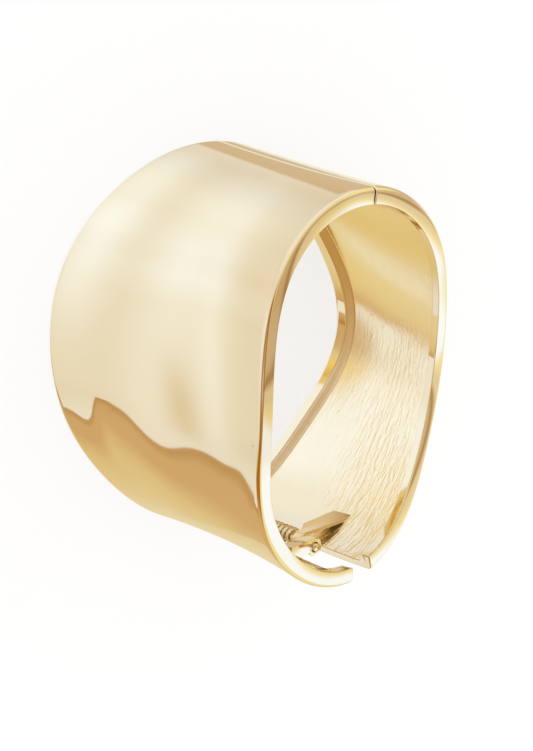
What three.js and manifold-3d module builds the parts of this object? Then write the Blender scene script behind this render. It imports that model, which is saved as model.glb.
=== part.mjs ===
// A hinged cuff bracelet: a broad front half and a narrow-waisted back half, joined by a spring hinge.
// Units are millimetres. The loop is drawn about its own axis Z, with the hinge at +X, the opening seam
// at -X, the broad front at -Y and the narrow back at +Y. Angles run round the loop from the hinge,
// towards the back. The finished loop is then leant back, so that its lower rim lies flat on the ground.
import * as THREE from 'three';
import { mergeVertices } from 'three/addons/utils/BufferGeometryUtils.js';
import Module from 'manifold-3d';

const wasm = await Module();
wasm.setup();

// The loop, in twelve sections, 30 degrees apart. radius: axis to outer skin at mid-width.
// rise: height of the upper rim above the loop's middle plane.
const SECTIONS = [
  { place: 'hinge', radius: 31.4, rise: 15.9 },
  { place: 'hinge back', radius: 27.7, rise: 15.6 },
  { place: 'back quarter', radius: 25.7, rise: 13.2 },
  { place: 'back', radius: 26.2, rise: 12.3 },
  { place: 'back quarter', radius: 25.5, rise: 15.1 },
  { place: 'seam back', radius: 27.7, rise: 17.6 },
  { place: 'seam', radius: 30.6, rise: 16.5 },
  { place: 'seam front', radius: 28.8, rise: 15.4 },
  { place: 'front quarter', radius: 26.5, rise: 17.8 },
  { place: 'front', radius: 24.8, rise: 19.6 },
  { place: 'front quarter', radius: 25.4, rise: 17.6 },
  { place: 'hinge front', radius: 28.4, rise: 15.4 },
];
const DROP = 16.0;            // middle plane down to the lower rim, at the hinge and the seam
const LEAN = THREE.MathUtils.degToRad(18.3);  // the loop's axis from upright, towards the back
const RIM_SHIFT = 0.95;       // upper rim towards the hinge, lower rim away from it
const SADDLE = 0.45;          // rims outside the mid-width skin, all round
const SADDLE_FRONT = 1.7;     // extra on the front, and as much less on the back

const WALL = 1.3;             // wall inside the lips
const RIM = 2.7;              // depth of the rims and lips
const LIP = 1.5;              // width of the lips
const LIP_SLOPE = 0.6;        // width of the slope from lip to wall
const RIM_ROUND = 0.9;        // radius of the rims' outer edge
const SEAM_GAP = 0.3;         // between the halves' seam faces

// The halves' ends at the hinge, as distances from the middle of the hinge side along Y.
const FRONT_END = { middle: -2.3, rims: 0.3, power: 4 };
const BACK_END = { middle: 3.1, rims: 4.2, power: 2 };
const END_BLEND = THREE.MathUtils.degToRad(24);  // stretch of loop over which an end's curve fades out

const PIN = { x: 29.5, y: 0.6, radius: 0.65, reach: 7.7 };
const KNUCKLE_RADIUS = 1.5;
const BORE_RADIUS = 0.8;
const NEAR_LUG = { low: 5.4, high: 7.4 };
const FAR_LUG = { low: -7.4, high: -5.2 };
const LUG_LENGTH = 6.6;       // along Y, from the pin into the front half
const LUG_UNDERSIDE = 0.9;    // from the pin's axis outwards
const LEAF = { low: 3.3, high: 5.1, neckHigh: 4.7, footLow: 3.8, footHigh: 7.2, thickness: 0.7 };
const LEAF_CORNER = { along: 2.6, low: 2.4 };    // corner that the spring's leg rests on
const LEAF_END = THREE.MathUtils.degToRad(22.5); // where the leaf meets the back half's wall
const SOLDER = 0.7;           // how deep the lugs and the leaf sink into the wall
const COIL = { low: -4.5, high: 2.6, radius: 1.6, wire: 0.3, pitch: 0.92 };

const GOLD = { color: 0xe2bd6c, roughness: 0.12, metalness: 1.0 };
const STEP = THREE.MathUtils.degToRad(5);        // between sections of the faceted walls

// Periodic interpolation through equally spaced sections: each section's value times a kernel that is
// 1 at that section and 0 at every other.
function around(column, angle) {
  const count = SECTIONS.length;
  let total = 0;
  SECTIONS.forEach((section, index) => {
    const away = angle - (index * 2 * Math.PI) / count;
    const half = Math.tan(away / 2);
    const kernel = Math.abs(Math.sin(away / 2)) < 1e-9 ? 1 : Math.sin((count * away) / 2) / (count * half);
    total += section[column] * kernel;
  });
  return total;
}

// Distance from the loop's axis to the outer skin. across runs from -1 at the lower rim to 1 at the upper.
function skinRadius(angle, across) {
  const saddle = SADDLE - SADDLE_FRONT * Math.sin(angle);
  return around('radius', angle) + RIM_SHIFT * Math.cos(angle) * across + saddle * across * across;
}

// Outward direction of the skin, seen along the loop's axis.
function outward(angle, across) {
  const delta = 1e-4;
  const slope = (skinRadius(angle + delta, across) - skinRadius(angle - delta, across)) / (2 * delta);
  const radius = skinRadius(angle, across);
  const c = Math.cos(angle);
  const s = Math.sin(angle);
  return new THREE.Vector2(radius * c + slope * s, radius * s - slope * c).normalize();
}

function rimHeights(angle, y) {
  return { low: -DROP + Math.tan(LEAN) * y, high: around('rise', angle) };
}

// A point of the wall: depth below the skin, at a place across the width.
function wallPoint(angle, across, depth) {
  const radius = skinRadius(angle, across);
  const normal = outward(angle, across);
  const x = radius * Math.cos(angle) - depth * normal.x;
  const y = radius * Math.sin(angle) - depth * normal.y;
  const rims = rimHeights(angle, y);
  return new THREE.Vector3(x, y, THREE.MathUtils.lerp(rims.low, rims.high, (across + 1) / 2));
}

// Half of the wall's section, from a rim to mid-width: rows of skin and inside points, each with its
// distance from the rim in mm, or as a share of the width past the lip, and its depth.
function sectionRows(width, wall) {
  const rows = [];
  [90, 60, 30, 0].forEach((degrees, index) => {
    const turn = THREE.MathUtils.degToRad(degrees);
    const lip = [0, LIP / 2, LIP, LIP + LIP_SLOPE][index];
    rows.push({
      skin: { from: RIM_ROUND * (1 - Math.sin(turn)), depth: RIM_ROUND * (1 - Math.cos(turn)) },
      inside: { from: lip, depth: index < 3 ? RIM : wall },
    });
  });
  const start = LIP + LIP_SLOPE;
  [0.25, 0.5, 0.75].forEach((share) => {
    const from = start + (width / 2 - start) * share;
    rows.push({ skin: { from, depth: 0 }, inside: { from, depth: wall } });
  });
  return rows;
}

// The closed ring of one section of the wall: up the skin, and down the inside.
function sectionRing(angleAt, wall) {
  const middle = angleAt(0);
  const rims = rimHeights(middle, skinRadius(middle, -1) * Math.sin(middle));
  const width = rims.high - rims.low;
  const rows = sectionRows(width, wall);
  const point = (from, depth) => {
    const across = (2 * from) / width - 1;
    return wallPoint(angleAt(across), across, depth);
  };
  const skin = rows.map((row) => point(row.skin.from, row.skin.depth));
  const inside = rows.map((row) => point(row.inside.from, row.inside.depth));
  skin.push(point(width / 2, 0));
  inside.push(point(width / 2, wall));
  [...rows].reverse().forEach((row) => {
    skin.push(point(width - row.skin.from, row.skin.depth));
    inside.push(point(width - row.inside.from, row.inside.depth));
  });
  return { skin, inside };
}

function shellGeometry(rings) {
  const positions = [];
  const faces = [];
  const rows = rings[0].skin.length;
  rings.forEach((ring) => {
    ring.skin.forEach((p) => positions.push(p.x, p.y, p.z));
    ring.inside.forEach((p) => positions.push(p.x, p.y, p.z));
  });
  const quad = (a, b, c, d) => faces.push(a, b, c, a, c, d);
  const loop = [];
  for (let i = 0; i < rows; i += 1) loop.push(i);
  for (let i = rows - 1; i >= 0; i -= 1) loop.push(rows + i);
  for (let ring = 0; ring < rings.length - 1; ring += 1) {
    const here = ring * 2 * rows;
    const next = here + 2 * rows;
    loop.forEach((from, index) => {
      const to = loop[(index + 1) % loop.length];
      quad(here + from, next + from, next + to, here + to);
    });
  }
  const last = (rings.length - 1) * 2 * rows;
  for (let i = 0; i < rows - 1; i += 1) {
    quad(i, i + 1, rows + i + 1, rows + i);
    quad(last + i, last + rows + i, last + rows + i + 1, last + i + 1);
  }
  const geometry = new THREE.BufferGeometry();
  geometry.setAttribute('position', new THREE.Float32BufferAttribute(positions, 3));
  geometry.setIndex(faces);
  return geometry;
}

// A half of the loop, from one angle up to another. seam is the end with a lip, end the curve of the other.
function shell(seam, hinge, end) {
  const length = Math.abs(hinge - seam);
  const sense = Math.sign(hinge - seam);
  const lipTurn = LIP / skinRadius(seam, 0);
  const slopeTurn = LIP_SLOPE / skinRadius(seam, 0);
  const turns = [0, lipTurn];
  const count = Math.round(length / STEP);
  for (let i = 0; i <= count; i += 1) {
    turns.push(lipTurn + slopeTurn + ((length - lipTurn - slopeTurn) * i) / count);
  }
  const endRadius = skinRadius(hinge, 0);
  const rings = turns.map((turn, index) => {
    const fade = Math.max(0, 1 - (length - turn) / END_BLEND);
    const ease = fade * fade * (3 - 2 * fade);
    const angleAt = (across) => {
      const curve = (end.rims - end.middle) * Math.abs(across) ** end.power;
      return seam + sense * turn + (ease * curve) / endRadius;
    };
    return sectionRing(angleAt, index < 2 ? RIM : WALL);
  });
  return shellGeometry(sense > 0 ? rings : rings.reverse());
}

function solid(geometry) {
  const bare = geometry.clone();
  bare.deleteAttribute('normal');
  bare.deleteAttribute('uv');
  const merged = mergeVertices(bare, 1e-5);
  return new wasm.Manifold(new wasm.Mesh({
    numProp: 3,
    vertProperties: new Float32Array(merged.attributes.position.array),
    triVerts: new Uint32Array(merged.index.array),
  }));
}

function geometryOf(manifold) {
  const mesh = manifold.getMesh();
  const geometry = new THREE.BufferGeometry();
  geometry.setAttribute('position', new THREE.BufferAttribute(new Float32Array(mesh.vertProperties), 3));
  geometry.setIndex(new THREE.BufferAttribute(new Uint32Array(mesh.triVerts), 1));
  geometry.computeVertexNormals();
  return geometry;
}

function slab(shape, low, high) {
  const settings = { depth: high - low, bevelEnabled: false, curveSegments: 10 };
  const geometry = new THREE.ExtrudeGeometry(shape, settings);
  geometry.translate(0, 0, low);
  return geometry;
}

function disc(radius) {
  const shape = new THREE.Shape();
  shape.absarc(PIN.x, PIN.y, radius, 0, 2 * Math.PI, false);
  return shape;
}

// How far across the width a height lies, at the hinge.
function acrossAt(height) {
  const rims = rimHeights(0, 0);
  return (2 * (height - rims.low)) / (rims.high - rims.low) - 1;
}

// A lug: a knuckle round the pin, and an arm that runs into the front half's wall.
function lug(place) {
  const across = acrossAt((place.low + place.high) / 2);
  const top = PIN.x - KNUCKLE_RADIUS;
  const arm = [new THREE.Vector2(top, PIN.y), new THREE.Vector2(PIN.x + LUG_UNDERSIDE, PIN.y)];
  const wallStart = FRONT_END.middle / skinRadius(0, 0);
  const wallStop = (PIN.y - LUG_LENGTH) / skinRadius(0, 0);
  arm.push(new THREE.Vector2(PIN.x + LUG_UNDERSIDE, FRONT_END.middle));
  for (let i = 0; i <= 3; i += 1) {
    const p = wallPoint(THREE.MathUtils.lerp(wallStart, wallStop, i / 3), across, SOLDER);
    arm.push(new THREE.Vector2(p.x, p.y - (i === 0 ? 0.2 : 0)));
  }
  arm.push(new THREE.Vector2(top, PIN.y - LUG_LENGTH + 1));
  const body = solid(slab(new THREE.Shape(arm.reverse()), place.low, place.high));
  return body.add(solid(slab(disc(KNUCKLE_RADIUS), place.low, place.high)));
}

// The leaf: a flat plate that widens from the top of its knuckle to the back half's wall.
function leaf() {
  const across = acrossAt((LEAF.footLow + LEAF.footHigh) / 2);
  const foot = wallPoint(LEAF_END, across, SOLDER);
  const start = new THREE.Vector3(PIN.x - KNUCKLE_RADIUS, PIN.y, 0);
  const along = new THREE.Vector3(foot.x, foot.y, 0).sub(start);
  const length = along.length();
  along.normalize();
  const outline = new THREE.Shape([
    new THREE.Vector2(0, LEAF.low),
    new THREE.Vector2(LEAF_CORNER.along / 2, LEAF.low),
    new THREE.Vector2(LEAF_CORNER.along, LEAF_CORNER.low),
    new THREE.Vector2(length, LEAF.footLow),
    new THREE.Vector2(length, LEAF.footHigh),
    new THREE.Vector2(0, LEAF.neckHigh),
  ]);
  const plate = new THREE.ExtrudeGeometry(outline, { depth: LEAF.thickness, bevelEnabled: false });
  const up = new THREE.Vector3(0, 0, 1);
  const turn = new THREE.Matrix4().makeBasis(along, up, along.clone().cross(up));
  plate.applyMatrix4(turn.setPosition(start));
  return solid(slab(disc(KNUCKLE_RADIUS), LEAF.low, LEAF.high)).add(solid(plate));
}

function bore() {
  return solid(slab(disc(BORE_RADIUS), -DROP, DROP));
}

function springGeometry() {
  class Helix extends THREE.Curve {
    getPoint(t) {
      const height = THREE.MathUtils.lerp(COIL.low, COIL.high, t);
      const turn = ((height - COIL.low) / COIL.pitch) * 2 * Math.PI;
      return new THREE.Vector3(PIN.x + COIL.radius * Math.cos(turn), PIN.y + COIL.radius * Math.sin(turn), height);
    }
  }
  const wire = new THREE.Shape();
  wire.absarc(0, 0, COIL.wire, 0, 2 * Math.PI, false);
  const steps = Math.round(((COIL.high - COIL.low) / COIL.pitch) * 14);
  const settings = { steps, extrudePath: new Helix(), bevelEnabled: false, curveSegments: 3 };
  return new THREE.ExtrudeGeometry(wire, settings);
}

function gold(name, geometry) {
  const mesh = new THREE.Mesh(geometry, new THREE.MeshStandardMaterial(GOLD));
  mesh.name = name;
  return mesh;
}

const halfGap = SEAM_GAP / 2 / skinRadius(Math.PI, 0);
const frontEnd = FRONT_END.middle / skinRadius(0, 0);
const backEnd = BACK_END.middle / skinRadius(0, 0);
const frontShell = solid(shell(Math.PI + halfGap, 2 * Math.PI + frontEnd, FRONT_END));
const backShell = solid(shell(Math.PI - halfGap, backEnd, BACK_END));
const frontHalf = frontShell.add(lug(NEAR_LUG)).add(lug(FAR_LUG)).subtract(bore());
const backHalf = backShell.add(leaf()).subtract(bore());

const loop = new THREE.Group();
loop.add(gold('front_half', geometryOf(frontHalf)));
loop.add(gold('back_half', geometryOf(backHalf)));
loop.add(gold('hinge_pin', slab(disc(PIN.radius), -PIN.reach, PIN.reach)));
loop.add(gold('hinge_spring', springGeometry()));
loop.rotation.x = -LEAN;

// The origin is the centre of the ground under the cuff.
const cuff = new THREE.Group();
cuff.add(loop);
cuff.updateMatrixWorld(true);
const box = new THREE.Box3().setFromObject(cuff, true);
const centre = box.getCenter(new THREE.Vector3());
loop.position.set(-centre.x, -centre.y, -box.min.z);
cuff.updateMatrixWorld(true);

export default cuff;
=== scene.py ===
"""Looks of a hinged, gold-plated cuff bracelet, laid out as an add-on and run as a script.

The shapes are worked out in millimetres about the loop's own axis, with the hinge at +X, the opening seam
at -X, the broad front at -Y and the narrow back at +Y. Each is then leant, moved and scaled into the frame.
"""
import math

import bmesh
import bpy
import numpy as np
from bpy.props import FloatProperty, FloatVectorProperty, PointerProperty
from mathutils import Matrix, Vector


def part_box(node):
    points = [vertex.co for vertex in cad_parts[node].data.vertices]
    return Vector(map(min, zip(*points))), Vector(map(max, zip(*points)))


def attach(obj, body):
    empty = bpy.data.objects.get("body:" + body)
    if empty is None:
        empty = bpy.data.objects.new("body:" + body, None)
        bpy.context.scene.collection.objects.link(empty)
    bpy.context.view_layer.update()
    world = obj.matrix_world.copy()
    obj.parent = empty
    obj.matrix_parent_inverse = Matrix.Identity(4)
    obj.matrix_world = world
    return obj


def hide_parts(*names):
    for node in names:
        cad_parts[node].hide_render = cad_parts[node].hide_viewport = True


bl_info = {
    "name": "Hinged cuff bracelet",
    "version": (1, 0, 0),
    "blender": (4, 5, 0),
    "location": "3D View > Sidebar > Cuff",
    "description": "A gold-plated cuff of two cast halves on a spring hinge",
    "category": "Add Mesh",
}

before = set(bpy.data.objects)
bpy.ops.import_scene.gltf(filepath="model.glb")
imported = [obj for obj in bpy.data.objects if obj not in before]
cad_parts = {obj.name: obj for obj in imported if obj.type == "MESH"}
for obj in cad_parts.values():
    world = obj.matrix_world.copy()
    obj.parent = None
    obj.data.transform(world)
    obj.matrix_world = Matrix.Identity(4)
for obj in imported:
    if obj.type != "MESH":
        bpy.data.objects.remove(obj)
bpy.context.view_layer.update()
MM = 0.001

# The loop in twelve sections, rounded from a fit, 30 degrees apart from the hinge round by the back.
# radius: axis to skin at mid-width. rise: height of the upper rim above the loop's middle plane.
SECTIONS = {
    "radius": (31.4, 27.7, 25.7, 26.2, 25.5, 27.7, 30.6, 28.8, 26.5, 24.8, 25.4, 28.4),
    "rise": (15.9, 15.6, 13.2, 12.3, 15.1, 17.6, 16.5, 15.4, 17.8, 19.6, 17.6, 15.4),
}
DROP = 16.0                  # middle plane down to the lower rim
LEAN = math.radians(18.3)    # the loop's axis from upright
RIM_SHIFT = 0.95             # upper rim towards the hinge, lower rim away from it
SADDLE = 0.45                # rims outside the mid-width skin, all round
SADDLE_FRONT = 1.7           # extra on the front, and as much less on the back
LIP_SLOPE = 0.45             # width of the slope from lip to wall
SEAM_GAP = 0.3               # between the halves' seam faces
INNER_ROUND = 0.14           # radius of the lips' inner edges
SEAM_ROUND = 0.18            # radius of both halves' edges at the seam
FRONT_HINGE_ROUND = 0.55     # radius of the front half's edge at the hinge
BACK_HINGE_ROUND = 0.2       # radius of the back half's edge at the hinge
MEAN_RADIUS = 26.0           # axis to skin, taken for the mm round the loop that hollows and patches spread
HOLLOWS_HALF = 20.0          # half of the width in mm, taken for the hollows
PATCHES_HALF = 16.0          # half of the width in mm, taken for the patches
STATIONS = 230               # sections along a half, between its ends
END_STEPS = 7                # sections round an end's edge
SLOPE_STEPS = 10             # steps down the slope from lip to wall
SKIN_STEPS = 31              # steps across half of the skin
WALL_STEPS = 22              # steps across half of the inner wall
LEAST_ROUND = 0.03           # radius that an edge keeps where a section is drawn in
RECESS_EDGE = 0.93           # how far across the inner wall's cast finish reaches
LOOP_UV = (2.8, 1.7)         # centimetres to a radian round the loop, and to half of its width
STREAKS = {"starts": 112, "eased": 26, "least": 0.12, "from": -0.45, "to": 0.35}
PALENESS = {"starts": 116, "eased": 22}

# The halves' ends at the hinge, as distances from the middle of the hinge side.
FRONT_END = {"middle": -2.3, "rims": 0.3, "power": 4}
BACK_END = {"middle": 3.1, "rims": 4.2, "power": 2}
END_BLEND = math.radians(24)

# The hinge's pieces. Heights are along the pin, from the middle plane.
PIN = {"x": 29.5, "y": 0.6, "radius": 0.65, "reach": 7.7, "dome": 0.25}
KNUCKLE_RADIUS = 1.5
BORE_RADIUS = 0.8
NEAR_LUG = {"low": 5.4, "high": 7.4}
FAR_LUG = {"low": -7.4, "high": -5.2}
LUG_LENGTH = 6.6
LUG_UNDERSIDE = 0.9
LEAF = {"low": 3.3, "high": 5.1, "neck_high": 4.7, "foot_low": 3.8, "foot_high": 7.2}
LEAF_CORNER = {"along": 2.6, "low": 2.4}
LEAF_END = math.radians(22.5)
SOLDER = 0.7                 # how deep the lugs and the leaf are sunk in the wall
COIL = {"low": -4.5, "high": 2.6, "radius": 1.6, "pitch": 0.92, "steps": 36, "sides": 14}

# Shallow hollows and swells of the front half's skin, which bend what it mirrors. They are assumed, and most
# were set by a fit for the stage's camera: where each lies round the loop and across the width, how far it
# spreads in mm, and how deep it is (a swell is negative).
HOLLOWS = (
    {"angle": 236, "across": -0.30, "round": 9.0, "wide": 8.0, "depth": 0.22},
    {"angle": 250, "across": 0.35, "round": 8.0, "wide": 6.0, "depth": 0.16},
    {"angle": 215, "across": 0.50, "round": 7.0, "wide": 8.0, "depth": -0.12},
    {"angle": 287.0, "across": -0.19, "round": 12.8, "wide": 7.5, "depth": -0.217},
    {"angle": 284.1, "across": -0.24, "round": 13.1, "wide": 5.8, "depth": -0.206},
    {"angle": 285.1, "across": 0.30, "round": 4.0, "wide": 7.0, "depth": -0.136},
    {"angle": 289.4, "across": -0.69, "round": 9.8, "wide": 2.4, "depth": 0.163},
    {"angle": 303.8, "across": 0.90, "round": 8.8, "wide": 3.0, "depth": -0.071},
    {"angle": 279.5, "across": 0.62, "round": 4.7, "wide": 5.3, "depth": -0.084},
)

# Painted reflections: soft paler (plus) and deeper (minus) patches of the front half's colour. They stand in
# for soft reflections and not for wear, and were set by a fit for the stage's camera: where each lies round
# the loop and across the width, how far it spreads in mm, how far it drifts across for each mm round, and how
# much.
REFLECTION_PATCHES = (
    {"angle": 221, "across": -0.81, "round": 15.7, "wide": 4.5, "drift": -0.04, "much": 0.337},
    {"angle": 210, "across": 0.10, "round": 5.1, "wide": 10.0, "drift": 0.16, "much": 0.159},
    {"angle": 261, "across": 0.51, "round": 22.0, "wide": 2.6, "drift": 0.10, "much": 0.136},
    {"angle": 245, "across": 0.06, "round": 22.0, "wide": 7.1, "drift": -0.08, "much": 0.202},
    {"angle": 273, "across": 0.19, "round": 6.7, "wide": 2.8, "drift": 0.17, "much": -0.217},
    {"angle": 230, "across": -0.92, "round": 5.0, "wide": 9.8, "drift": -0.59, "much": -0.152},
    {"angle": 228, "across": 0.72, "round": 3.9, "wide": 7.5, "drift": 0.52, "much": -0.137},
)
PLAIN_REFLECTION = 0.13             # everywhere else
REFLECTION_RANGE = (-0.2, 0.3)      # what counts as deepest and palest
REFLECTION_WINDOW = (186, 290)      # bearings round the loop, in degrees, between which the patches count

# Tints of the skin's gold where its painted reflections are deepest and palest.
DEEP_TINT = (0.791, 0.672, 0.466)
PALE_TINT = (1.121, 1.165, 1.316)


# ---------------------------------------------------------------- the loop as surfaces

def around(column, angle):
    """A value round the loop: each section's value times a kernel, sin(n a / 2) / (n tan(a / 2)), which is 1
    at its own section and 0 at every other."""
    values = SECTIONS[column]
    count = len(values)
    total = np.zeros_like(angle)
    for index, value in enumerate(values):
        away = angle - index * 2 * np.pi / count
        near = np.abs(np.sin(away / 2)) < 1e-7
        half = np.tan(np.where(near, 1.0, away / 2))
        total += value * np.where(near, 1.0, np.sin(count * away / 2) / (count * half))
    return total


def skin_radius(angle, across):
    """Axis to skin: the loop's radius, a shift along the hinge side, and a saddle that grows with the square
    of the distance from mid-width."""
    saddle = SADDLE - SADDLE_FRONT * np.sin(angle)
    return around("radius", angle) + RIM_SHIFT * np.cos(angle) * across + saddle * across ** 2


def hollow_depth(angle, across):
    """The hollows' depth: a sum of Gaussian bells, each stretched round the loop and across it."""
    depth = np.zeros(np.broadcast(angle, across).shape)
    for h in HOLLOWS:
        along = (angle - math.radians(h["angle"])) * MEAN_RADIUS / h["round"]
        over = (across - h["across"]) * HOLLOWS_HALF / h["wide"]
        depth += h["depth"] * np.exp(-along ** 2 - over ** 2)
    return depth


def painted_reflection(angle, across):
    """How pale the painted reflections make the skin, from 0 to 1: a sum of stretched and slanted bells
    on the broad front, eased into the plain value towards both of its ends."""
    much = np.zeros(angle.shape)
    for patch in REFLECTION_PATCHES:
        along = (angle - math.radians(patch["angle"])) * MEAN_RADIUS
        over = (across - patch["across"]) * PATCHES_HALF - patch["drift"] * along
        much += patch["much"] * np.exp(-(along / patch["round"]) ** 2 - (over / patch["wide"]) ** 2)
    degrees = np.degrees(angle)
    window = ease((degrees - REFLECTION_WINDOW[0]) / 10) * ease((REFLECTION_WINDOW[1] - degrees) / 10)
    much = PLAIN_REFLECTION + (much - PLAIN_REFLECTION) * window
    return np.clip((much - REFLECTION_RANGE[0]) / (REFLECTION_RANGE[1] - REFLECTION_RANGE[0]), 0, 1)


def wall_points(angle, across, depth):
    """Points of the wall: the skin's point, moved inwards by depth square to the skin seen along the axis,
    at a height shared out between the two rims."""
    delta = 1e-4
    slope = (skin_radius(angle + delta, across) - skin_radius(angle - delta, across)) / (2 * delta)
    radius = skin_radius(angle, across)
    out_x = radius * np.cos(angle) + slope * np.sin(angle)
    out_y = radius * np.sin(angle) - slope * np.cos(angle)
    size = np.hypot(out_x, out_y)
    x = radius * np.cos(angle) - depth * out_x / size
    y = radius * np.sin(angle) - depth * out_y / size
    low = -DROP + math.tan(LEAN) * y
    high = around("rise", angle)
    z = low + (high - low) * (across + 1) / 2
    return np.stack([x, y, z], -1)


def ease(t):
    """A smooth step from 0 to 1: three t squared less two t cubed, held at its ends."""
    t = np.clip(t, 0, 1)
    return t * t * (3 - 2 * t)


# ---------------------------------------------------------------- meshes

def placed(points):
    """Loop coordinates in mm to the frame in metres: leant back about X, then moved as the CAD loop is."""
    c, s = math.cos(LEAN), math.sin(LEAN)
    x, y, z = points[..., 0], points[..., 1], points[..., 2]
    leant = np.stack([x, y * c + z * s, -y * s + z * c], -1)
    return (leant + np.array(PLACE)) * MM


def find_place():
    """How far the leant loop is moved, in mm, from where the pin's node lies."""
    low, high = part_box("hinge_pin")
    middle = (np.array(low) + np.array(high)) / 2 / MM
    c, s = math.cos(LEAN), math.sin(LEAN)
    return tuple(middle - np.array([PIN["x"], PIN["y"] * c, -PIN["y"] * s]))


PLACE = find_place()


def new_object(name, points, faces, smooth=True):
    """A mesh object at the origin from loop points in mm and quads or longer faces."""
    mesh = bpy.data.meshes.new(name)
    mesh.from_pydata(placed(points).tolist(), [], faces)
    mesh.validate()
    mesh.polygons.foreach_set("use_smooth", [smooth] * len(mesh.polygons))
    obj = bpy.data.objects.new(name, mesh)
    bpy.context.scene.collection.objects.link(obj)
    return obj


def grid_faces(rows, columns, wrap_columns=False):
    """Quads of a grid of rows by columns, numbered row by row."""
    j = np.arange(columns if wrap_columns else columns - 1)
    i = np.arange(rows - 1)[:, None]
    k = (j + 1) % columns
    quads = np.stack([i * columns + j, (i + 1) * columns + j, (i + 1) * columns + k, i * columns + k], -1)
    return quads.reshape(-1, 4)


def section_half(width, inset, wall, sizes):
    """Half of the wall's section, rim to mid-width, as skin and inside points: distance from the rim, and
    depth. Both edges of the rim are quarter circles, and a smooth step falls from the lip to the wall. inset
    draws the whole outline in, for a rounded end."""
    turn = np.linspace(np.pi / 2, 0, 9)
    ball = np.maximum(sizes.rim_round - inset, LEAST_ROUND)
    skin_from = inset + ball * (1 - np.sin(turn))
    skin_depth = inset + ball * (1 - np.cos(turn))
    hold = sizes.rim_round + 0.22
    more = np.linspace(0, 1, SKIN_STEPS)
    skin_from = np.concatenate([skin_from, hold + (width / 2 - hold) * more])
    skin_depth = np.concatenate([skin_depth, np.full(SKIN_STEPS, inset)])
    turn = np.linspace(np.pi / 2, 0, 5)
    ball = np.maximum(INNER_ROUND - inset, LEAST_ROUND)
    inside_from = inset + ball * (1 - np.sin(turn))
    lip_depth = sizes.rim - inset
    inside_depth = lip_depth - ball * (1 - np.cos(turn))
    flat = np.array([0.35, 0.8, sizes.lip - 0.2])
    fall = sizes.lip + LIP_SLOPE * np.linspace(-0.15, 1.15, SLOPE_STEPS)
    floor = np.linspace(fall[-1] + 0.2, width / 2, WALL_STEPS)
    level = ease((fall - sizes.lip) / LIP_SLOPE)
    inside_from = np.concatenate([inside_from, flat, fall, floor])
    inside_depth = np.concatenate([inside_depth, np.full(len(flat), lip_depth),
                                   lip_depth - (sizes.rim - wall) * level, np.full(WALL_STEPS, wall - inset)])
    return skin_from, skin_depth, inside_from, inside_depth


def shell(name, seam, hinge, end, sizes, round_hinge):
    """A half of the loop: the wall's closed section carried round from its seam end to its hinge end, with
    both ends rounded by drawing the section in along a quarter circle, and closed by a strip."""
    sense = np.sign(hinge - seam)
    length = abs(hinge - seam)
    radius = float(skin_radius(np.array(seam), np.array(0.0)))
    hinge_radius = float(skin_radius(np.array(hinge), np.array(0.0)))
    quarter = np.linspace(np.pi / 2, 0, END_STEPS)
    seam_ends = SEAM_ROUND * (1 - np.sin(quarter)) / radius
    hinge_ends = length - round_hinge * (1 - np.sin(quarter))[::-1] / hinge_radius
    step = (sizes.lip + LIP_SLOPE * np.linspace(-0.15, 1.15, SLOPE_STEPS)) / radius
    before = np.linspace(seam_ends[-1], step[0], END_STEPS)[1:-1]
    after = np.linspace(step[-1], hinge_ends[0], STATIONS)[1:-1]
    turns = np.concatenate([seam_ends, before, step, after, hinge_ends])
    insets = np.zeros_like(turns)
    insets[:END_STEPS] = SEAM_ROUND * (1 - np.cos(quarter))
    insets[-END_STEPS:] = round_hinge * (1 - np.cos(quarter))[::-1]
    lip_fill = 1 - ease((turns * radius - sizes.lip) / LIP_SLOPE)
    rows = []
    for turn, inset, fill in zip(turns, insets, lip_fill):
        middle = np.array(seam + sense * turn)
        low = -DROP + math.tan(LEAN) * skin_radius(middle, np.array(-1.0)) * np.sin(middle)
        width = float(around("rise", middle) - low)
        wall = sizes.wall + (sizes.rim - sizes.wall) * fill
        skin_from, skin_depth, inside_from, inside_depth = section_half(width, inset, wall, sizes)
        across_skin = 2 * np.concatenate([skin_from, (width - skin_from)[-2::-1]]) / width - 1
        across_in = 2 * np.concatenate([inside_from, (width - inside_from)[-2::-1]]) / width - 1
        across = np.concatenate([across_skin, across_in[::-1]])
        depth = np.concatenate([skin_depth, skin_depth[-2::-1], inside_depth, inside_depth[-2::-1]])
        fade = ease(1 - (length - turn) / END_BLEND)
        curve = (end["rims"] - end["middle"]) * np.abs(np.clip(across, -1, 1)) ** end["power"]
        angle = middle + fade * curve / hinge_radius
        count = len(across_skin)
        skin = across[:count]
        depth[:count] += hollow_depth(angle[:count], skin) * (1 - np.abs(skin) ** 6)
        rows.append(np.stack([angle, across, depth], -1))
    grid = np.array(rows)
    points = wall_points(grid[..., 0], grid[..., 1], grid[..., 2])
    if sense < 0:
        points, grid = points[::-1], grid[::-1]
    stations, ring = points.shape[:2]
    count = ring // 2
    sides = grid_faces(stations, ring, wrap_columns=True)
    k = np.arange(count - 1)
    first = np.stack([k, k + 1, ring - 2 - k, ring - 1 - k], -1)
    last = (stations - 1) * ring + first[:, ::-1]
    faces = np.concatenate([sides, first, last])
    obj = new_object(name, points.reshape(-1, 3), faces.tolist())
    add_loop_uv(obj, grid)
    mark_finishes_and_reflections(obj, grid, count, sizes.rim)
    return obj


def add_loop_uv(obj, grid):
    """A UV map, roughly in centimetres: round the loop, and across its width."""
    flat = (grid[..., :2] * LOOP_UV).reshape(-1, 2)
    layer = obj.data.uv_layers.new(name="loop")
    index = np.empty(len(obj.data.loops), np.int32)
    obj.data.loops.foreach_get("vertex_index", index)
    layer.data.foreach_set("uv", flat[index].ravel().astype(np.float32))


def add_attribute(obj, name, values):
    """A number at each point of the mesh, for its material to read."""
    made = obj.data.attributes.new(name, "FLOAT", "POINT")
    made.data.foreach_set("value", values.ravel().astype(np.float32))


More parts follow.
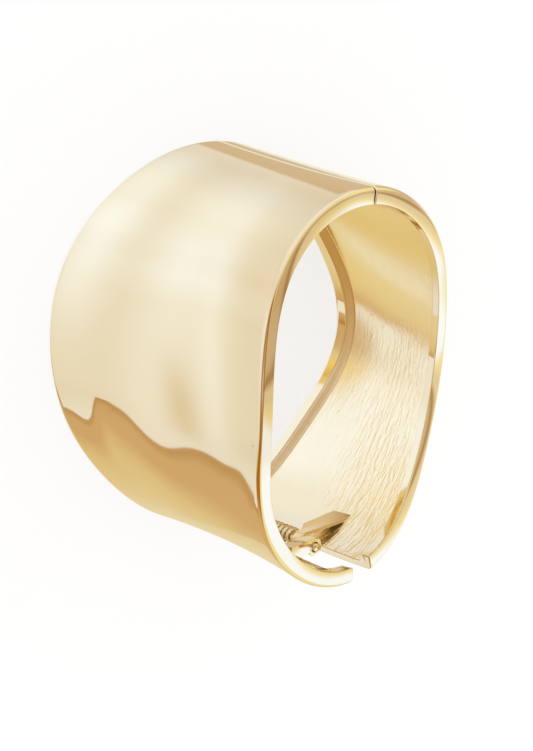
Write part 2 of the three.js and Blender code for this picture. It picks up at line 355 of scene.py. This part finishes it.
def mark_finishes_and_reflections(obj, grid, count, rim):
    """Attributes from 0 to 1. recess: the inner wall inside the lips. One for the painted reflections on the
    skin:
    how pale they make it. pale and streaked: 0 at the seam and eased up from a bearing from the hinge, in
    degrees; streaked is also weaker towards the lower rim."""
    angle, across, depth = grid[..., 0], grid[..., 1], grid[..., 2]
    recess = np.zeros(depth.shape)
    cast = (depth[:, count:] < rim - 0.05) & (np.abs(across[:, count:]) < RECESS_EDGE)
    recess[:, count:] = np.where(cast, 1.0, 0.0)
    from_hinge = np.degrees(np.minimum(angle, 2 * np.pi - angle))
    raised = ease((across - STREAKS["from"]) / (STREAKS["to"] - STREAKS["from"]))
    streaked = recess * ease((STREAKS["starts"] - from_hinge) / STREAKS["eased"])
    streaked *= STREAKS["least"] + (1 - STREAKS["least"]) * raised
    add_attribute(obj, "recess", recess)
    # Painted reflections: paler and deeper patches of the skin's colour.
    add_attribute(obj, "painted_reflection", painted_reflection(angle, across))
    add_attribute(obj, "pale", ease((PALENESS["starts"] - from_hinge) / PALENESS["eased"]))
    add_attribute(obj, "streaked", streaked)


def extruded(name, outline, low, high):
    """A flat outline carried straight along the pin, closed by its two ends."""
    outline = np.asarray(outline, float)
    count = len(outline)
    rows = [np.column_stack([outline, np.full(count, z)]) for z in (low, high)]
    faces = grid_faces(2, count, wrap_columns=True)[:, ::-1].tolist()
    faces.append(list(range(count))[::-1])
    faces.append(list(range(count, 2 * count)))
    obj = new_object(name, np.concatenate(rows), faces)
    recalculate(obj)
    return obj


def plate(outline, start, along, thickness):
    """A flat plate: an outline of distances along it and heights up the pin, as thick as asked towards +X."""
    outline = np.asarray(outline, float)
    count = len(outline)
    rows = []
    for deep in (0.0, thickness):
        x = start[0] + along[0] * outline[:, 0] + along[1] * deep
        y = start[1] + along[1] * outline[:, 0] - along[0] * deep
        rows.append(np.column_stack([x, y, outline[:, 1]]))
    faces = grid_faces(2, count, wrap_columns=True).tolist()
    faces.append(list(range(count))[::-1])
    faces.append(list(range(count, 2 * count)))
    obj = new_object("plate", np.concatenate(rows), faces)
    recalculate(obj)
    return obj


def recalculate(obj):
    """Faces outwards, by a scratch bmesh."""
    work = bmesh.new()
    work.from_mesh(obj.data)
    bmesh.ops.recalc_face_normals(work, faces=work.faces)
    work.to_mesh(obj.data)
    work.free()


def turned(name, profile, steps=48):
    """A closed profile of radius and height turned once round the pin's axis."""
    profile = np.asarray(profile, float)
    turn = np.linspace(0, 2 * np.pi, steps, endpoint=False)[:, None]
    x = PIN["x"] + profile[:, 0] * np.cos(turn)
    y = PIN["y"] + profile[:, 0] * np.sin(turn)
    z = np.broadcast_to(profile[:, 1], x.shape)
    points = np.stack([x, y, z], -1).reshape(-1, 3)
    count = len(profile)
    grid = grid_faces(steps + 1, count, wrap_columns=True) % (steps * count)
    obj = new_object(name, points, grid.tolist())
    recalculate(obj)
    return obj


def tube_profile(inner, outer, low, high, edge):
    """The section of a tube with its four edges rounded off by a small chamfer."""
    return [(inner, low + edge), (inner + edge, low), (outer - edge, low), (outer, low + edge),
            (outer, high - edge), (outer - edge, high), (inner + edge, high), (inner, high - edge)]


def joined(name, pieces):
    """Several meshes as one object."""
    bpy.ops.object.select_all(action="DESELECT")
    for piece in pieces:
        piece.select_set(True)
    bpy.context.view_layer.objects.active = pieces[0]
    bpy.ops.object.join()
    obj = bpy.context.view_layer.objects.active
    obj.name = name
    return obj


def rounded_edges(obj, width, segments=3):
    """A Bevel modifier for the small hard edges of the hinge's pieces."""
    bevel = obj.modifiers.new("edges", "BEVEL")
    bevel.width = width * MM
    bevel.segments = segments
    bevel.limit_method = "ANGLE"
    bevel.angle_limit = math.radians(35)


# ---------------------------------------------------------------- finishes

def new_material(name):
    """An all-metal material with just its shader and output."""
    material = bpy.data.materials.new(name)
    material.use_nodes = True
    tree = material.node_tree
    tree.nodes.clear()
    output = tree.nodes.new("ShaderNodeOutputMaterial")
    shader = tree.nodes.new("ShaderNodeBsdfPrincipled")
    tree.links.new(shader.outputs["BSDF"], output.inputs["Surface"])
    shader.inputs["Metallic"].default_value = 1.0
    return material, tree, shader


def node(tree, kind, inputs=None, **settings):
    """A node with its settings, and its inputs as values or as other nodes' outputs."""
    made = tree.nodes.new(kind)
    for key, value in settings.items():
        setattr(made, key, value)
    for key, value in (inputs or {}).items():
        if isinstance(value, bpy.types.NodeSocket):
            tree.links.new(value, made.inputs[key])
        else:
            made.inputs[key].default_value = value
    return made


def ramp(tree, factor, stops):
    """A colour ramp from its stops, each a place from 0 to 1 and a colour."""
    made = node(tree, "ShaderNodeValToRGB", {"Fac": factor})
    for element, (place, colour) in zip(made.color_ramp.elements, (stops[0], stops[-1])):
        element.position = place
        element.color = (*colour, 1)
    for place, colour in stops[1:-1]:
        made.color_ramp.elements.new(place).color = (*colour, 1)
    return made


def shaded(colour, factor):
    """A colour times one number."""
    return tuple(c * factor for c in colour)


def spread(tree, noise, low, high):
    """A noise's middle range, spread over low to high."""
    return node(tree, "ShaderNodeMapRange", {"Value": noise, "From Min": 0.3, "From Max": 0.7,
                                             "To Min": low, "To Max": high}).outputs["Result"]


def reckoned(tree, operation, first, second):
    """Two numbers added or multiplied."""
    return node(tree, "ShaderNodeMath", {0: first, 1: second}, operation=operation).outputs[0]


def mixed(tree, factor, first, second, data_type="RGBA", **settings):
    """Two colours, or two numbers, mixed."""
    return node(tree, "ShaderNodeMix", {"Factor": factor, "A": first, "B": second}, data_type=data_type,
                **settings).outputs["Result"]


def attribute(tree, name):
    """An attribute of the mesh, as a number."""
    return node(tree, "ShaderNodeAttribute", attribute_name=name).outputs["Fac"]


def polished_gold(name, colour, roughness, grain):
    """Polished plating: gold with a faint drift of tone, a soft haze in patches and an orange-peel bump."""
    material, tree, shader = new_material(name)
    place = node(tree, "ShaderNodeTexCoord").outputs["Object"]
    drift = node(tree, "ShaderNodeTexNoise", {"Vector": place, "Scale": 55.0, "Detail": 2.0})
    tone = ramp(tree, drift.outputs["Fac"], ((0.3, shaded(colour, 0.97)), (0.7, colour)))
    tree.links.new(tone.outputs["Color"], shader.inputs["Base Color"])
    haze = spread(tree, drift.outputs["Fac"], roughness * 0.8, roughness * 1.3)
    tree.links.new(haze, shader.inputs["Roughness"])
    peel = node(tree, "ShaderNodeTexNoise", {"Vector": place, "Scale": 900.0, "Detail": 2.0})
    bump = node(tree, "ShaderNodeBump", {"Height": peel.outputs["Fac"], "Strength": grain,
                                         "Distance": 0.00002})
    tree.links.new(bump.outputs["Normal"], shader.inputs["Normal"])
    return material


def tinted(colour, tint):
    """A colour times a tint, held below white."""
    return tuple(min(1.0, channel * share) for channel, share in zip(colour, tint))


def whitened(colour):
    """The inner plating where it is palest, near the hinge: part of the way to white, most of all in blue."""
    red, green, blue = colour
    return (red + 0.1 * (1 - red), green + 0.16 * (1 - green), blue + 0.24 * (1 - blue))


def half_gold(name, chosen):
    """A half's plating: mirror polished outside, with paler and deeper patches of painted reflection, and
    inside the lips left as cast and brushed, with fine wavy streaks that run round the loop, some pits and a
    softer gloss."""
    material, tree, shader = new_material(name)
    place = node(tree, "ShaderNodeTexCoord").outputs["Object"]
    recess = attribute(tree, "recess")
    drift = node(tree, "ShaderNodeTexNoise", {"Vector": place, "Scale": 55.0, "Detail": 2.0}).outputs["Fac"]
    # The outside's colour: the skin's gold, made paler or deeper by the painted reflections.
    plain = ramp(tree, attribute(tree, "painted_reflection"), ((0.0, tinted(chosen.gold, DEEP_TINT)),
                                                   (1.0, tinted(chosen.gold, PALE_TINT))))
    faint = ramp(tree, drift, ((0.3, (0.98, 0.975, 0.97)), (0.7, (1, 1, 1))))
    outside = mixed(tree, 1.0, plain.outputs["Color"], faint.outputs["Color"], blend_type="MULTIPLY")
    inside = ramp(tree, attribute(tree, "pale"), ((0.0, chosen.cast_gold), (1.0, whitened(chosen.cast_gold))))
    colour = mixed(tree, recess, outside, inside.outputs["Color"])
    tree.links.new(colour, shader.inputs["Base Color"])

    uv = node(tree, "ShaderNodeUVMap", uv_map="loop").outputs["UV"]
    drawn = node(tree, "ShaderNodeMapping", {"Vector": uv, "Scale": (1.0, 4.2, 1.0)}).outputs["Vector"]
    streak = node(tree, "ShaderNodeTexNoise", {"Vector": drawn, "Scale": 3.0, "Detail": 3.0,
                                               "Roughness": 0.55, "Distortion": 0.9}).outputs["Fac"]
    smooth = spread(tree, drift, chosen.polish * 0.8, chosen.polish * 1.3)
    rough = spread(tree, streak, chosen.cast_finish * 0.75, chosen.cast_finish * 1.25)
    tree.links.new(mixed(tree, recess, smooth, rough, "FLOAT"), shader.inputs["Roughness"])

    grit = node(tree, "ShaderNodeTexNoise", {"Vector": place, "Scale": 1500.0, "Detail": 3.0}).outputs["Fac"]
    pits = node(tree, "ShaderNodeTexVoronoi", {"Vector": place, "Scale": 420.0}).outputs["Distance"]
    pit = ramp(tree, pits, ((0.05, (0, 0, 0)), (0.16, (1, 1, 1)))).outputs["Color"]
    height = reckoned(tree, "MULTIPLY", streak, attribute(tree, "streaked"))
    height = reckoned(tree, "ADD", height, reckoned(tree, "MULTIPLY", grit, 0.03))
    height = reckoned(tree, "ADD", height, reckoned(tree, "MULTIPLY", pit, 0.1))
    height = reckoned(tree, "MULTIPLY", height, recess)
    bump = node(tree, "ShaderNodeBump", {"Height": height, "Strength": 0.6, "Distance": 0.00016})
    tree.links.new(bump.outputs["Normal"], shader.inputs["Normal"])
    return material


# ---------------------------------------------------------------- what a user may change

class CuffSizes(bpy.types.PropertyGroup):
    """The thicknesses, in mm"""
    wall: FloatProperty(name="Wall", description="Wall inside the lips, in mm", default=1.3,
                        min=0.8, max=1.8)
    rim: FloatProperty(name="Rim", description="Depth of rims and lips, in mm", default=2.7,
                       min=1.8, max=3.2)
    lip: FloatProperty(name="Lip", description="Width of the lips, in mm", default=1.5, min=1.0, max=2.5)
    rim_round: FloatProperty(name="Rim edge", description="Radius of the rims' outer edge, in mm",
                             default=0.9)
    leaf: FloatProperty(name="Leaf", description="Thickness of the hinge leaf, in mm", default=0.7)
    wire: FloatProperty(name="Wire", description="Radius of the spring's wire, in mm", default=0.3)


class CuffLooks(bpy.types.PropertyGroup):
    """The platings' colours and roughness"""
    gold: FloatVectorProperty(name="Gold", description="Polished plating", subtype="COLOR",
                              default=(0.92, 0.78, 0.52))
    cast_gold: FloatVectorProperty(name="Cast gold", description="Plating inside the lips", subtype="COLOR",
                                   default=(0.96, 0.81, 0.47))
    leaf_gold: FloatVectorProperty(name="Leaf gold", description="Plating of the hinge leaf",
                                   subtype="COLOR", default=(0.98, 0.78, 0.44))
    polish: FloatProperty(name="Polish", description="Roughness of the polished skin", default=0.045,
                          min=0.0, max=1.0, subtype="FACTOR")
    cast_finish: FloatProperty(name="Cast finish", description="Roughness inside the lips", default=0.17,
                               min=0.0, max=1.0, subtype="FACTOR")


def sizes():
    """The sizes set for this scene."""
    return bpy.context.scene.cuff_sizes


def looks():
    """The looks set for this scene."""
    return bpy.context.scene.cuff_looks


def half_gap():
    """Half of the seam's gap, as an angle."""
    return SEAM_GAP / 2 / float(skin_radius(np.array(np.pi), np.array(0.0)))


def end_angle(end):
    """Where a half ends at mid-width, as an angle from the hinge."""
    return end["middle"] / float(skin_radius(np.array(0.0), np.array(0.0)))


class CUFF_OT_front_half(bpy.types.Operator):
    """The broad front half: polished skin, raised lips, and a rounded end at the hinge"""
    bl_idname = "cuff.front_half"
    bl_label = "Front half"

    def execute(self, context):
        obj = shell("front_shell", np.pi + half_gap(), 2 * np.pi + end_angle(FRONT_END), FRONT_END, sizes(),
                    FRONT_HINGE_ROUND)
        obj.data.materials.append(half_gold("front gold", looks()))
        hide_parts("front_half")
        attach(obj, "front")
        return {"FINISHED"}


class CUFF_OT_back_half(bpy.types.Operator):
    """The narrow-waisted back half"""
    bl_idname = "cuff.back_half"
    bl_label = "Back half"

    def execute(self, context):
        obj = shell("back_shell", np.pi - half_gap(), end_angle(BACK_END), BACK_END, sizes(),
                    BACK_HINGE_ROUND)
        obj.data.materials.append(half_gold("back gold", looks()))
        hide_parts("back_half")
        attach(obj, "back")
        return {"FINISHED"}


def across_at(height):
    """How far across the width a height lies, at the hinge."""
    high = float(around("rise", np.array(0.0)))
    return 2 * (height + DROP) / (high + DROP) - 1


def lug_outline(place):
    """The lug's arm seen along the pin: from the knuckle's top, down its underside, and into the wall."""
    across = np.full(4, across_at((place["low"] + place["high"]) / 2))
    radius = float(skin_radius(np.array(0.0), np.array(0.0)))
    start = FRONT_END["middle"] / radius
    stop = (PIN["y"] - LUG_LENGTH) / radius
    sunk = wall_points(np.linspace(start, stop, 4), across, np.full(4, SOLDER))[:, :2]
    sunk[0, 1] -= 0.2
    top = PIN["x"] - KNUCKLE_RADIUS
    under = PIN["x"] + LUG_UNDERSIDE
    first = [(top, PIN["y"]), (under - 0.3, PIN["y"] - 1.0), (under, FRONT_END["middle"])]
    return first + [tuple(p) for p in sunk] + [(top, PIN["y"] - LUG_LENGTH + 1)]


class CUFF_OT_hinge_lugs(bpy.types.Operator):
    """The two lugs soldered inside the front half, each with a knuckle round the pin"""
    bl_idname = "cuff.hinge_lugs"
    bl_label = "Hinge lugs"

    def execute(self, context):
        pieces = []
        for index, place in enumerate((NEAR_LUG, FAR_LUG)):
            pieces.append(extruded(f"arm_{index}", lug_outline(place), place["low"], place["high"]))
            profile = tube_profile(BORE_RADIUS, KNUCKLE_RADIUS, place["low"], place["high"], 0.12)
            pieces.append(turned(f"knuckle_{index}", profile))
        obj = joined("hinge_lugs", pieces)
        rounded_edges(obj, 0.12)
        obj.data.materials.append(polished_gold("lug gold", looks().gold, 0.12, 0.3))
        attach(obj, "front")
        return {"FINISHED"}


class CUFF_OT_hinge_leaf(bpy.types.Operator):
    """The flat leaf soldered inside the back half, with its knuckle round the pin"""
    bl_idname = "cuff.hinge_leaf"
    bl_label = "Hinge leaf"

    def execute(self, context):
        across = np.array(across_at((LEAF["foot_low"] + LEAF["foot_high"]) / 2))
        foot = wall_points(np.array(LEAF_END), across, np.array(SOLDER))[:2]
        start = np.array([PIN["x"] - KNUCKLE_RADIUS, PIN["y"]])
        length = np.linalg.norm(foot - start)
        outline = [(0, LEAF["low"]), (LEAF_CORNER["along"] / 2, LEAF["low"]),
                   (LEAF_CORNER["along"], LEAF_CORNER["low"]), (length, LEAF["foot_low"]),
                   (length, LEAF["foot_high"]), (0, LEAF["neck_high"])]
        profile = tube_profile(BORE_RADIUS, KNUCKLE_RADIUS, LEAF["low"], LEAF["high"], 0.1)
        leaf = plate(outline, start, (foot - start) / length, sizes().leaf)
        obj = joined("hinge_leaf", [leaf, turned("leaf_knuckle", profile)])
        rounded_edges(obj, 0.08)
        obj.data.materials.append(polished_gold("leaf gold", looks().leaf_gold, 0.36, 0.5))
        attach(obj, "back")
        return {"FINISHED"}


class CUFF_OT_hinge_pin(bpy.types.Operator):
    """The straight pin, with softly domed ends"""
    bl_idname = "cuff.hinge_pin"
    bl_label = "Hinge pin"

    def execute(self, context):
        radius, reach = PIN["radius"], PIN["reach"]
        turn = np.linspace(0, np.pi / 2, 7)
        top = [(radius * math.cos(t), reach - PIN["dome"] * (1 - math.sin(t))) for t in turn[:-1]]
        top.append((0.01, reach))
        bottom = [(r, -z) for r, z in top[::-1]]
        obj = turned("pin", top + bottom, steps=32)
        obj.data.materials.append(polished_gold("pin gold", looks().gold, 0.15, 0.3))
        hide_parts("hinge_pin")
        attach(obj, "back")
        return {"FINISHED"}


class CUFF_OT_hinge_spring(bpy.types.Operator):
    """The coil spring on the pin"""
    bl_idname = "cuff.hinge_spring"
    bl_label = "Hinge spring"

    def execute(self, context):
        wire = sizes().wire
        turns = (COIL["high"] - COIL["low"]) / COIL["pitch"]
        t = np.linspace(0, 1, int(turns * COIL["steps"]))[:, None]
        turn = t * turns * 2 * np.pi
        ring = np.linspace(0, 2 * np.pi, COIL["sides"], endpoint=False)[None, :]
        out = COIL["radius"] + wire * np.cos(ring)
        x = PIN["x"] + out * np.cos(turn)
        y = PIN["y"] + out * np.sin(turn)
        z = COIL["low"] + (COIL["high"] - COIL["low"]) * t + wire * np.sin(ring)
        points = np.stack([x, y, z], -1)
        rows, sides = points.shape[:2]
        faces = grid_faces(rows, sides, wrap_columns=True).tolist()
        faces.append(list(range(sides)))
        faces.append([(rows - 1) * sides + k for k in range(sides)][::-1])
        obj = new_object("coil", points.reshape(-1, 3), faces)
        recalculate(obj)
        obj.data.materials.append(polished_gold("spring gold", shaded(looks().gold, 0.96), 0.16, 0.3))
        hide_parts("hinge_spring")
        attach(obj, "back")
        return {"FINISHED"}


# ---------------------------------------------------------------- the stage

# The camera's turn, tilt and roll in degrees, its place in mm and its lens.
CAMERA = {"turn": -23.0, "tilt": 39.7, "roll": 107.2, "away": 311.0, "right": -2.9, "up": -2.6,
          "lens": 95.9}


def leant_direction(v):
    """A direction about the loop's own axis, leant as the loop is."""
    c, s = math.cos(LEAN), math.sin(LEAN)
    return Vector((v[0], v[1] * c + v[2] * s, -v[1] * s + v[2] * c))


def add_camera():
    """The camera, placed by its turn, tilt and roll about the loop's own axis."""
    turn, tilt, roll = (math.radians(CAMERA[k]) for k in ("turn", "tilt", "roll"))
    back = Vector((math.sin(turn) * math.cos(tilt), -math.cos(turn) * math.cos(tilt), math.sin(tilt)))
    level = Vector((math.cos(turn), math.sin(turn), 0.0))
    raised = back.cross(level)
    right = level * math.cos(roll) + raised * math.sin(roll)
    up = raised * math.cos(roll) - level * math.sin(roll)
    spot = back * CAMERA["away"] + right * CAMERA["right"] + up * CAMERA["up"]
    back, right, up, spot = (leant_direction(v) for v in (back, right, up, spot))
    data = bpy.data.cameras.new("camera")
    data.lens = CAMERA["lens"]
    data.sensor_width = 36.0
    data.clip_start = 0.01
    camera = bpy.data.objects.new("camera", data)
    bpy.context.scene.collection.objects.link(camera)
    turn_matrix = Matrix((right, up, back)).transposed().to_4x4()
    camera.matrix_world = Matrix.Translation((spot + Vector(PLACE)) * MM) @ turn_matrix
    bpy.context.scene.camera = camera


# What the gold mirrors: a pale studio with a warm card standing on its +X side.
STUDIO = {
    "cream": (1.03, 1.12, 1.32),
    "ivory": (0.95, 0.98, 1.03),
    "wheat": (0.87, 0.86, 0.88),
    "shade": (0.89, 0.94, 1.05),
    "white": (1.07, 1.23, 1.64),
    "butter": (0.99, 0.94, 0.59),
    "sand": (0.85, 0.77, 0.59),
    "rose": (0.71, 0.585, 0.436),
    "tan": (0.69, 0.48, 0.26),
    "honey": (0.79, 0.645, 0.355),
    "gold": (0.84, 0.74, 0.50),
    "umber": (0.41, 0.24, 0.09),
    "brown": (0.45, 0.19, 0.02),
    "chestnut": (0.45, 0.24, 0.08),
    "hem": (0.58, 0.37, 0.17),
}
FLOOR_REACH = 3.0
# The card's place and reach in metres, and how far in from its near edge its colours change.
CARD = {"x": 0.042, "far_y": -0.008, "low_z": -0.150, "high_z": 0.180, "blend": 0.05}
# The card's near edge: its Y at each height, in metres, shaped to suit the stage's camera.
CARD_EDGE = ((-0.150, -0.090), (-0.070, -0.090), (-0.050, -0.075), (-0.022, -0.075), (-0.003, -0.044),
             (0.006, -0.030), (0.060, -0.030), (0.080, -0.045), (0.180, -0.045))


def compass_ramp(tree, compass, stops):
    """Colours round the compass: a named colour at each bearing in degrees, from -180 to 180."""
    return ramp(tree, compass, [(degrees / 360 + 0.5, STUDIO[colour]) for degrees, colour in stops])


def studio_world():
    """Plain white light for everything but mirrors, which see a pale room, warm on one side."""
    world = bpy.data.worlds.new("studio")
    world.use_nodes = True
    tree = world.node_tree
    tree.nodes.clear()
    output = node(tree, "ShaderNodeOutputWorld")
    way = node(tree, "ShaderNodeSeparateXYZ", {0: node(tree, "ShaderNodeTexCoord").outputs["Generated"]})
    turn = node(tree, "ShaderNodeMath", {0: way.outputs["Y"], 1: way.outputs["X"]}, operation="ARCTAN2")
    compass = node(tree, "ShaderNodeMath", {0: turn.outputs[0], 1: 1 / (2 * math.pi), 2: 0.5},
                   operation="MULTIPLY_ADD").outputs[0]
    above = compass_ramp(tree, compass, (
        (-180, "cream"), (-110, "cream"), (-60, "ivory"), (-48, "sand"), (-42, "brown"), (-12, "brown"),
        (-2, "butter"), (40, "butter"), (49, "white"), (66, "white"), (71, "butter"), (76, "sand"),
        (79, "sand"), (82, "umber"), (85, "rose"), (108, "rose"), (118, "butter"), (140, "butter"),
        (155, "cream"), (180, "cream")))
    below = compass_ramp(tree, compass, (
        (-180, "shade"), (-165, "ivory"), (-150, "ivory"), (-135, "cream"), (-120, "cream"),
        (-105, "ivory"), (-60, "ivory"), (-22, "wheat"), (-16, "honey"), (20, "gold"),
        (40, "gold"), (48, "butter"), (86, "butter"), (96, "shade"), (106, "rose"), (147, "rose"),
        (151, "wheat"), (162, "wheat"), (180, "shade")))
    level = node(tree, "ShaderNodeMapRange", {"Value": way.outputs["Z"], "From Min": -0.25, "From Max": 0.0})
    overhead = ramp(tree, way.outputs["Z"], ((0.0, (0, 0, 0)), (0.70, (0, 0, 0)), (0.79, (1, 1, 1)),
                                             (0.97, (0.8, 0.8, 0.8)), (1.0, (0.3, 0.3, 0.3))))
    room = mixed(tree, level.outputs[0], below.outputs["Color"], above.outputs["Color"])
    room = mixed(tree, overhead.outputs["Color"], room, (*STUDIO["chestnut"], 1))
    mirrored = node(tree, "ShaderNodeBackground", {"Color": room, "Strength": 1.0})
    plain = node(tree, "ShaderNodeBackground", {"Color": (1, 1, 1, 1), "Strength": 1.0})
    seen = node(tree, "ShaderNodeLightPath")
    both = node(tree, "ShaderNodeMixShader", {0: seen.outputs["Is Glossy Ray"], 1: plain.outputs[0],
                                              2: mirrored.outputs[0]})
    tree.links.new(both.outputs[0], output.inputs["Surface"])
    return world


def staged(name, mesh, material):
    """A piece of the stage."""
    obj = bpy.data.objects.new(name, mesh)
    bpy.context.scene.collection.objects.link(obj)
    mesh.materials.append(material)
    return obj


def floor_material():
    """A pale floor that glows softly from below, as a light table does."""
    material, tree, shader = new_material("pale floor")
    shader.inputs["Metallic"].default_value = 0.0
    shader.inputs["Base Color"].default_value = (0.28, 0.28, 0.28, 1)
    shader.inputs["Roughness"].default_value = 0.6
    shader.inputs["Emission Color"].default_value = (1, 1, 1, 1)
    shader.inputs["Emission Strength"].default_value = 0.72
    return material


def warm_card():
    """The card: a flat sheet whose near edge follows CARD_EDGE and whose far edge is straight, with an
    attribute that is 0 at the near edge and 1 where its colours have changed."""
    edge = np.array(CARD_EDGE)
    height = np.linspace(CARD["low_z"], CARD["high_z"], 331)
    near = np.interp(height, edge[:, 0], edge[:, 1])
    part = np.linspace(0, 1, 25)
    across = near[:, None] + (CARD["far_y"] - near[:, None]) * part
    upright = np.broadcast_to(height[:, None], across.shape)
    points = np.stack([np.full_like(across, CARD["x"]), across, upright], -1)
    mesh = bpy.data.meshes.new("warm_card")
    mesh.from_pydata(points.reshape(-1, 3).tolist(), [], grid_faces(*across.shape).tolist())
    obj = staged("warm_card", mesh, card_material())
    add_attribute(obj, "inward", (across - near[:, None]) / CARD["blend"])
    return obj


def card_material():
    """The warm card's glow: tan at its near edge, gold further in, and brown above the cuff."""
    material = bpy.data.materials.new("warm card")
    material.use_nodes = True
    tree = material.node_tree
    tree.nodes.clear()
    output = node(tree, "ShaderNodeOutputMaterial")
    place = node(tree, "ShaderNodeSeparateXYZ", {0: node(tree, "ShaderNodeTexCoord").outputs["Object"]})
    low = ramp(tree, attribute(tree, "inward"), (
        (0.0, STUDIO["hem"]), (0.04, STUDIO["hem"]), (0.12, STUDIO["tan"]), (0.30, STUDIO["tan"]),
        (0.55, STUDIO["honey"]), (1.0, STUDIO["gold"])))
    height = node(tree, "ShaderNodeMapRange", {"Value": place.outputs["Z"], "From Min": 0.040,
                                               "From Max": 0.050})
    colour = mixed(tree, height.outputs[0], low.outputs["Color"], (*STUDIO["brown"], 1))
    glow = node(tree, "ShaderNodeEmission", {"Color": colour, "Strength": 1.0})
    tree.links.new(glow.outputs[0], output.inputs["Surface"])
    return material


class CUFF_OT_stage(bpy.types.Operator):
    """A plain pale floor, soft studio light and the camera"""
    bl_idname = "cuff.stage"
    bl_label = "Stage"

    def execute(self, context):
        scene = context.scene
        scene.view_settings.view_transform = "Standard"
        add_camera()
        mesh = bpy.data.meshes.new("floor")
        far = FLOOR_REACH
        mesh.from_pydata([(-far, -far, 0), (far, -far, 0), (far, far, 0), (-far, far, 0)], [], [(0, 1, 2, 3)])
        floor = staged("floor", mesh, floor_material())
        floor.visible_glossy = False
        card = warm_card()
        card.visible_camera = False
        card.visible_diffuse = False
        card.visible_shadow = False
        scene.world = studio_world()
        return {"FINISHED"}


class CUFF_PT_panel(bpy.types.Panel):
    """The sidebar's list of sizes, looks and pieces"""
    bl_idname = "CUFF_PT_panel"
    bl_label = "Cuff bracelet"
    bl_space_type = "VIEW_3D"
    bl_region_type = "UI"
    bl_category = "Cuff"

    def draw(self, context):
        column = self.layout.column()
        for group in (context.scene.cuff_sizes, context.scene.cuff_looks):
            for key in group.bl_rna.properties.keys():
                if key not in ("rna_type", "name"):
                    column.prop(group, key)
        for operator in OPERATORS:
            column.operator(operator.bl_idname)


OPERATORS = (CUFF_OT_front_half, CUFF_OT_back_half, CUFF_OT_hinge_lugs, CUFF_OT_hinge_leaf,
             CUFF_OT_hinge_pin, CUFF_OT_hinge_spring, CUFF_OT_stage)
CLASSES = (CuffSizes, CuffLooks, *OPERATORS, CUFF_PT_panel)


def register():
    """The classes, and their settings on the scene."""
    for cls in CLASSES:
        bpy.utils.register_class(cls)
    bpy.types.Scene.cuff_sizes = PointerProperty(type=CuffSizes)
    bpy.types.Scene.cuff_looks = PointerProperty(type=CuffLooks)


def unregister():
    """What register did, undone."""
    del bpy.types.Scene.cuff_looks
    del bpy.types.Scene.cuff_sizes
    for cls in reversed(CLASSES):
        bpy.utils.unregister_class(cls)


def main():
    """The classes and their settings registered, then every piece in order, then the stage."""
    register()
    bpy.ops.cuff.front_half()
    bpy.ops.cuff.back_half()
    bpy.ops.cuff.hinge_lugs()
    bpy.ops.cuff.hinge_leaf()
    bpy.ops.cuff.hinge_pin()
    bpy.ops.cuff.hinge_spring()
    bpy.ops.cuff.stage()


if __name__ == "__main__":
    main()
